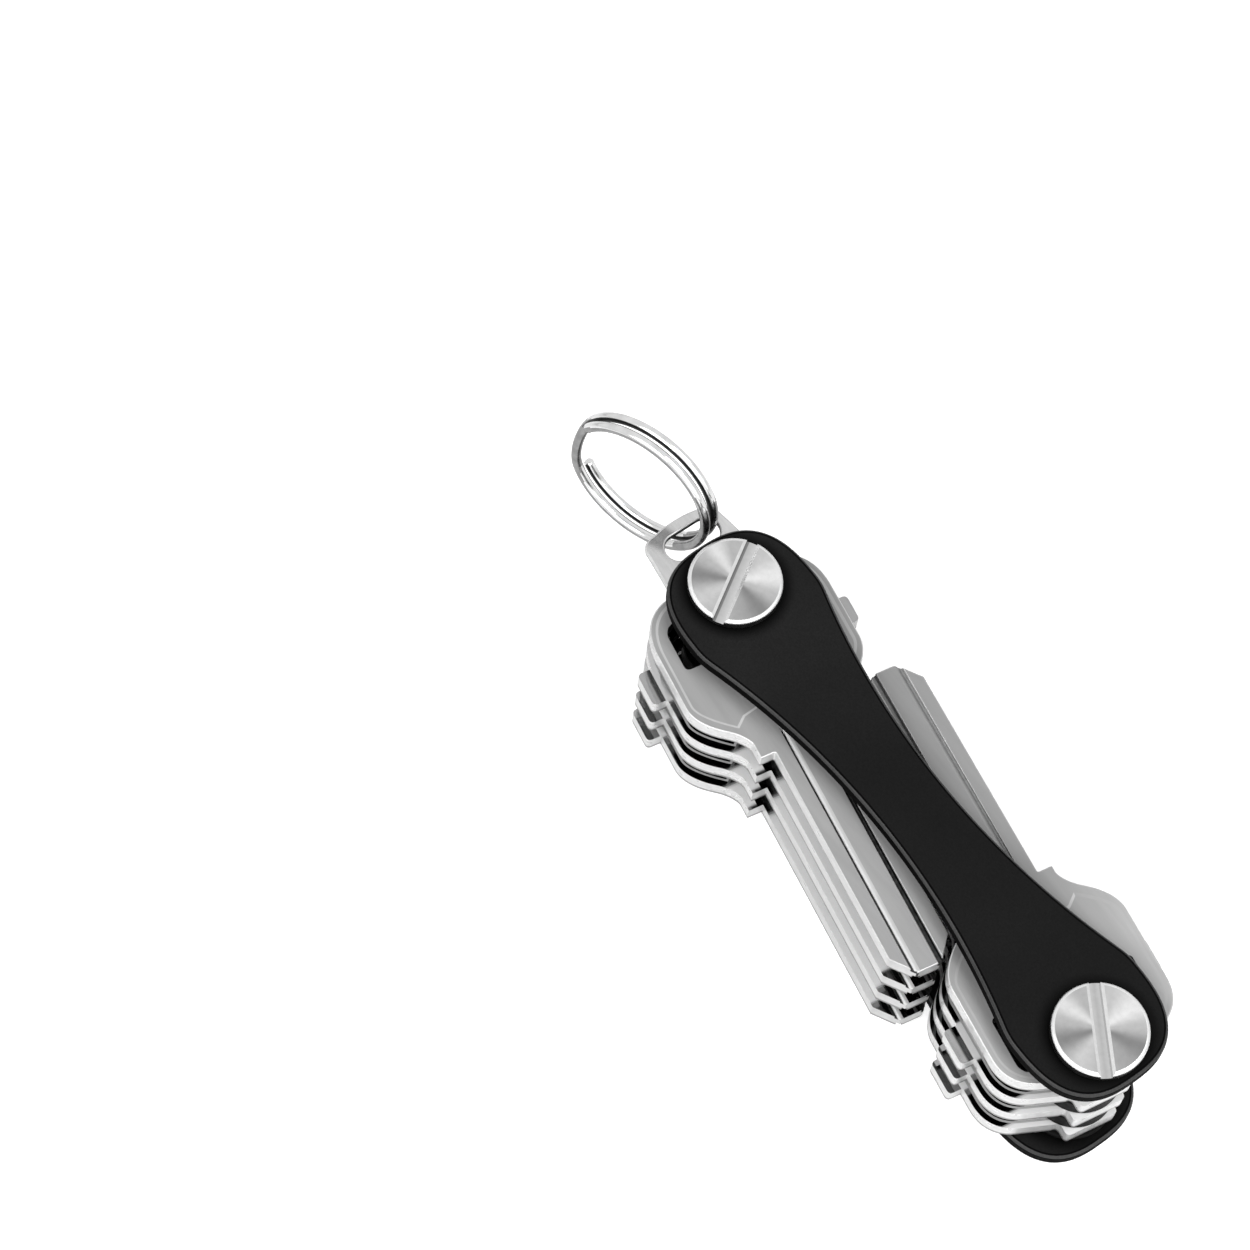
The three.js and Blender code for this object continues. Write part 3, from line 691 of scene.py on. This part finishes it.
def holeOutline(s, head):
    bendX = s["holeRear"] + s["holeSlope"]
    half, r = s["holeHalf"], s["holeRound"]
    a = [(s["holeRear"], s["holeRearHalf"]), (bendX, half - r)]
    a += bend(a[-1], (bendX + s["holeRearRound"], half), (bendX + s["holeRearRound"] + r, half))
    a.append((head["holeFront"] - r, half))
    a += bend(a[-1], (head["holeFront"], half), (head["holeFront"], half - r))
    return a + mirrored(a)


def panelOutline(s, head):
    half = s["headHalf"] - s["border"]
    roundX = head["shoulder"] + s["border"]
    front = head["panelFront"]
    sideEnd = head["neckX"] - s["neckLead"]
    a = [(s["border"] - s["back"], s["tabHalf"] + s["backRound"]),
         (roundX - s["rake"], s["headHalf"] - s["drop"])]
    a += bend(a[-1], (roundX, half), (s["sideStart"] + s["border"] / 2, half), 18)
    a.append((sideEnd, half))
    bulgeX = sideEnd + s["bulge"] - s["panelEase"]
    a += bend(a[-1], (bulgeX, half), (front + s["panelPoint"], s["panelCorner"]), 16)
    a.append((front, s["panelPointHalf"]))
    return a + [(front - s["panelPoint"], 0)] + mirrored(a)


def earMesh(s, ear, side):
    start, length, proud = ear
    end, root, r = start + length, side * s["earRoot"], s["earRound"]
    y = side * (s["headHalf"] + proud - s["earTrim"])
    a = [(start, root), (start, y - side * r)]
    a += bend(a[-1], (start, y), (start + r, y), 6)
    a.append((end - r, y))
    a += bend(a[-1], (end, y), (end, y - side * r), 6)
    return prismMesh(a + [(end, root)], 0, stack["key"])


def grooveCutters(s):
    top, far, above = stack["key"], s["reach"] + overrun, stack["key"] + overrun
    cutters = []
    for turned in (False, True):  # the same two grooves on both faces
        low, flat, width, depth = s["wideGroove"]
        wide = [(low, top - depth), (low + flat, top - depth), (low + width, top), (low + width, above),
                (low, above)]
        at, width, depth = s["narrowGroove"]
        left, right = at - width / 2, at + width / 2
        narrow = [(left, top - depth), (right, top - depth), (right, above), (left, above)]
        for section in (wide, narrow):
            if turned:
                section = [(2 * s["bladeOffset"] - y, top - z) for y, z in section]
            cutter = barMesh(section, s["grooveStart"], far)
            for vertex in cutter.vertices:  # each groove runs out of the surface on a ramp
                if vertex.co.x < s["grooveStart"] + s["margin"] and 0 < vertex.co.z < top:
                    vertex.co.x += s["runOut"]
            cutters.append(cutter)
    return cutters


def keyBody(name, s, head, end, eared):
    top, margin = stack["key"], s["margin"]
    joins = [earMesh(s, head["ear"], -1), earMesh(s, head["farEar"], 1)] if eared else []
    panel, hole = panelOutline(s, head), holeOutline(s, head)
    over, sink, draw = s["sinkOver"], s["sink"], s["sinkDraw"]
    cutters = [trayMesh(panel, top + over, sink, draw, True), trayMesh(panel, -over, sink, draw, False),
               prismMesh(hole, -overrun, top + overrun)] + grooveCutters(s)
    body = prismMesh(keyOutline(s, head), 0, top)
    mesh = carve(body, cutters, joins, bevel=s["edge"], segments=2, angle=48, edgeSlot=1)
    finishes = {
        "face": paintedLightFinish[end] if eared else faceFinish[end], "edge": keyWallLightFinish,
        "hole": holeShadeFinish, "groove": grooveShadeFinish[end], "slope": slopeLightFinish[end],
        "bright": slopeHighlightFinish, "blade": bladeWallLightFinish, "under": keyUnderFinish,
        "paleGroove": grooveShadeFinish["tail"],
    }
    mesh = finishMesh(name, mesh, [finishes[part] for part in keyParts])
    half = s["bladeWidth"] / 2 - margin
    for face in mesh.polygons:
        c, n = face.center / mm, face.normal
        part = keyParts[face.material_index]
        tilted = abs(n.z) < levelLimit
        inBlade = c.x > s["grooveStart"] - margin and abs(c.y - s["bladeOffset"]) < half
        # hole walls get painted shade
        if tilted and facesInto(hole, c, n):
            part = "hole"
        # groove walls get painted shade, other walls painted light
        elif part == "face" and abs(n.z) < wallLimit:
            dark = "paleGroove" if c.y < s["bladeOffset"] else "groove"
            part = dark if inBlade and c.x < s["reach"] - s["tip"] else "edge"
        # sloped sides get painted light, the painted highlight where they face outward
        elif part == "face" and tilted:
            point = n.y * c.y > 0 and inside(panel, c.x, c.y) and c.x > s["sideStart"]
            part = "bright" if point else "slope"
        # groove floors get painted shade too
        elif inBlade and margin < c.z < top - margin:
            part = "groove"
        if part == "edge" and c.x > head["collarX"] + margin:
            part = "blade"
        elif part == "face" and n.z < 0 and not eared:
            part = "under"
        face.material_index = keyParts.index(part)
    return mesh


for end, x in postAt.items():
    head = headSpec[end]
    plainKey = keyBody(end + "PlainKeyBody", keySpec, head, end, False)
    earedKey = keyBody(end + "EaredKeyBody", keySpec, head, end, True)
    for i in (1, 2, 3, 4):
        mesh = plainKey if i == 1 else earedKey
        name = end + "_key_" + str(i)
        z = rearKeyZ + (4 - i) * stack["pitch"]
        place(end + "Key" + str(i), mesh.copy(), name, name, x=x, z=z, turn=keyTurn[end])
print("keys placed")

# loop tab
tabSpec = {
    "root": 6.4, "rootTurn": 100.8, "end": 11.5, "endHalf": 5.1, "corner": 2.0, "bulge": 0.35,
    "eyeReach": 8.3, "eyeLength": 7.2, "eyeWidth": 3.4, "eyeSide": 0.4, "bore": 2.58, "edge": 0.2,
}


def buildTab(s):
    a = arc(0, 0, s["root"], 0, s["rootTurn"], 30)
    a.append((-s["end"] + s["corner"], s["endHalf"]))
    tip = -s["end"] + s["bulge"]
    a += bend(a[-1], (tip, s["endHalf"]), (tip, s["endHalf"] - s["corner"]), 10)
    a += bend(a[-1], (-s["end"], s["endHalf"] / 3), (-s["end"], 0), 8)
    plan = a + mirrored(a)[1:-1]
    straight = (s["eyeLength"] - s["eyeWidth"]) / 2
    r = s["eyeWidth"] / 2
    eye = arc(-s["eyeReach"], s["eyeSide"] + straight, r, 0, 180, 24)
    eye += arc(-s["eyeReach"], s["eyeSide"] - straight, r, 180, 360, 24)
    bore = arc(0, 0, s["bore"], 0, 360, 48)[:-1]
    t = stack["tab"]
    cutters = [prismMesh(outline, -overrun, t + overrun) for outline in (eye, bore)]
    mesh = carve(prismMesh(plan, 0, t), cutters, bevel=s["edge"], segments=3, angle=50, edgeSlot=1)
    mesh = finishMesh("loopTabBody", mesh, [tabFinish, keyWallLightFinish, holeShadeFinish])
    for face in mesh.polygons:
        c, n = face.center / mm, face.normal
        if abs(n.z) < wallLimit:
            # painted shade on the eye's walls, painted light on the other walls
            face.material_index = 2 if facesInto(eye, c, n) else 1
    place("loopTab", mesh, "loop_tab", "loop_tab", x=postAt["loop"], z=tabZ)


buildTab(tabSpec)

# split ring: one wire of nearly two turns that steps across at its far side
wireSpec = {
    "radius": 9.22, "wire": 1.2, "pitch": 1.65, "endTurn": 30, "stepTurn": 24, "filed": 0.18,
    "side": 2.3, "rise": 2.0, "yaw": 17.8, "lean": 86.0, "steps": 220, "sides": 28,
    "crease": 0.8, "stepClear": 0.2, "under": 0.4, "paintedBand": 1.2, "eyeShadeReach": 1.0,
}


def wirePoint(s, turn):
    t = min(1.0, max(0.0, (turn - 360 + s["stepTurn"]) / (2 * s["stepTurn"])))
    ease = t * t * (3 - 2 * t)
    a = math.radians(180 + turn)
    return Vector((s["radius"] * math.cos(a), s["radius"] * math.sin(a), s["pitch"] * (ease - 0.5)))


def buildRing(s):
    bm = bmesh.new()
    first, last = s["endTurn"], 720 - s["endTurn"]
    r = s["wire"] / 2
    stations = []
    for k in range(s["steps"] + 1):
        stations.append((first + (last - first) * k / s["steps"], r))
    filed = s["filed"]  # the wire's ends are filed round
    roll = math.degrees(filed / s["radius"])
    stations[0] = (first, r - filed)
    stations.insert(1, (first + roll, r))
    stations[-1] = (last, r - filed)
    stations.insert(-1, (last - roll, r))
    loops = []
    for turn, radius in stations:
        centre = wirePoint(s, turn)
        out = Vector((centre.x, centre.y, 0)).normalized()
        loop = []
        for j in range(s["sides"]):
            a = 2 * math.pi * j / s["sides"]
            toSkin = math.cos(a) * out + Vector((0, 0, math.sin(a)))
            loop.append(bm.verts.new(centre + radius * toSkin))
        loops.append(loop)
    for low, high in zip(loops, loops[1:]):
        for j in range(s["sides"]):
            n = (j + 1) % s["sides"]
            bm.faces.new((low[j], low[n], high[n], high[j]))
    bm.faces.new(loops[0])
    bm.faces.new(loops[-1])
    bmesh.ops.recalc_face_normals(bm, faces=bm.faces)
    mesh = bpy.data.meshes.new("splitRingBody")
    bm.to_mesh(mesh)
    bm.free()
    reach = math.sqrt(s["radius"] ** 2 - s["rise"] ** 2)
    yaw = math.radians(s["yaw"])
    eyeX = postAt["loop"] - tabSpec["eyeReach"]
    at = Vector((eyeX - reach * math.cos(yaw), s["side"] - reach * math.sin(yaw),
                 tabZ + stack["tab"] / 2 + s["rise"]))
    turnMatrix = Matrix.Rotation(yaw, 4, "Z") @ Matrix.Rotation(math.radians(s["lean"]), 4, "X")
    mesh.transform(Matrix.Translation(at) @ turnMatrix)
    mesh = finishMesh("splitRingBody", mesh, [wireFinish, wireShadeFinish, wireUnderShadeFinish], 50)
    side = turnMatrix.to_3x3() @ Vector((0, 0, 1))
    eye = Vector((eyeX, tabSpec["eyeSide"], tabZ))
    eyeRoom = tabSpec["eyeLength"] / 2 + s["eyeShadeReach"]
    for face in mesh.polygons:
        c = face.center / mm
        lean = face.normal.dot(side)
        inEye = c.z < tabZ + s["paintedBand"] and (c - eye).length < eyeRoom
        across = (c - at).dot(side)
        # painted shade in the crease between the two turns of wire
        if across * lean < 0 and abs(lean) > s["crease"] and abs(across) > s["stepClear"]:
            face.material_index = 1
        elif face.normal.z < s["under"] or inEye:  # painted shade below, and round the tab's eye
            face.material_index = 2
    place("splitRing", mesh, "split_ring", "split_ring")


buildRing(wireSpec)
print("tab and ring placed")

# floor and light
floorSpec = {
    "radius": 800, "depth": 4, "z": -1.2, "tone": (0.9, 0.94), "blotch": 40, "rough": 0.9,
    "seen": 0.65, "near": 0.18, "far": 0.5, "mirrored": 0.4, "steps": 96,
}


def buildFloor(s):
    material, tree, shader, coords = newFinish("paleFloor")
    _, ramp = noiseRamp(tree, coords, s["blotch"], 2, spread(*s["tone"]))
    tree.links.new(ramp.outputs["Color"], shader.inputs["Base Color"])
    shader.inputs["Roughness"].default_value = s["rough"]
    shader.inputs["Specular IOR Level"].default_value = 0.0
    path = addNode(tree, "ShaderNodeLightPath")
    seen = calc(tree, "MAXIMUM", path.outputs["Is Camera Ray"], path.outputs["Is Transmission Ray"])
    inMetal = calc(tree, "MULTIPLY", path.outputs["Is Glossy Ray"], s["mirrored"])
    shader.inputs["Emission Color"].default_value = grey(1)
    # far from the lamps the floor still meets the white wall
    level = smoothFade(tree, lengthOf(tree, coords), s["near"], s["far"], s["seen"], 1.0)
    shown = calc(tree, "MULTIPLY_ADD", seen, level, inMetal)
    tree.links.new(shown, shader.inputs["Emission Strength"])
    mesh = prismMesh(arc(0, 0, s["radius"], 0, 360, s["steps"])[:-1], -s["depth"], 0)
    mesh = finishMesh("floorBody", mesh, [material])
    floor = bpy.data.objects.new("floor", mesh)
    scene.collection.objects.link(floor)
    floor.location = (0, 0, s["z"] * mm)


worldLevel = 0.12


def buildWorld(level):
    world = bpy.data.worlds.new("studio")
    world.use_nodes = True
    scene.world = world
    tree = world.node_tree
    tree.nodes.clear()
    path = addNode(tree, "ShaderNodeLightPath")
    seen = calc(tree, "MAXIMUM", path.outputs["Is Camera Ray"], path.outputs["Is Glossy Ray"])
    seen = calc(tree, "MAXIMUM", seen, path.outputs["Is Transmission Ray"])
    soft = addNode(tree, "ShaderNodeBackground", {"Color": grey(1), "Strength": level})
    white = addNode(tree, "ShaderNodeBackground", {"Color": grey(1), "Strength": 1.0})
    mix = addNode(tree, "ShaderNodeMixShader")
    out = addNode(tree, "ShaderNodeOutputWorld")
    tree.links.new(seen, mix.inputs[0])
    tree.links.new(soft.outputs[0], mix.inputs[1])
    tree.links.new(white.outputs[0], mix.inputs[2])
    tree.links.new(mix.outputs[0], out.inputs["Surface"])


lampAim = Vector((0, 0, 0.01))
lampSpec = [
    {"name": "overheadSoftbox", "at": (0.3, 0.12, 0.64), "size": (0.36, 0.36), "watts": 2.0},
    {"name": "sideSoftbox", "at": (0.0, -0.42, 0.5), "size": (0.5, 0.4), "watts": 2.8},
    {"name": "endSoftbox", "at": (0.5, -0.1, 0.3), "size": (0.8, 0.5), "watts": 1.4},
]


def buildLamp(s):
    data = bpy.data.lights.new(s["name"], "AREA")
    data.shape = "RECTANGLE"
    data.size, data.size_y = s["size"]
    data.energy = s["watts"]
    lamp = bpy.data.objects.new(s["name"], data)
    scene.collection.objects.link(lamp)
    lamp.location = s["at"]
    lamp.rotation_euler = (lampAim - Vector(s["at"])).to_track_quat("-Z", "Y").to_euler()


buildFloor(floorSpec)
buildWorld(worldLevel)
for spec in lampSpec:
    buildLamp(spec)

# camera at the photograph's place, for a square frame of 1250 pixels
cameraSpec = {
    "eye": (105.53, -148.08, 399.12), "focalPixels": 3920.09, "frame": 1250, "sensor": 36.0,
    "right": (0.59142, 0.804, 0.06164), "down": (0.74073, -0.51148, -0.43555),
}


def buildCamera(s):
    data = bpy.data.cameras.new("photoCamera")
    data.sensor_width = s["sensor"]
    data.lens = s["focalPixels"] / s["frame"] * s["sensor"]
    data.clip_start = 0.01
    data.clip_end = 20
    camera = bpy.data.objects.new("photoCamera", data)
    scene.collection.objects.link(camera)
    right = Vector(s["right"]).normalized()
    up = -Vector(s["down"]).normalized()
    back = right.cross(up).normalized()
    up = back.cross(right)
    turn = Matrix((right, up, back)).transposed().to_4x4()
    eye = Vector(s["eye"]) + Vector((0, 0, stackTop))
    camera.matrix_world = Matrix.Translation(eye * mm) @ turn
    scene.camera = camera


buildCamera(cameraSpec)
scene.view_settings.view_transform = "Standard"
print("camera and light set")
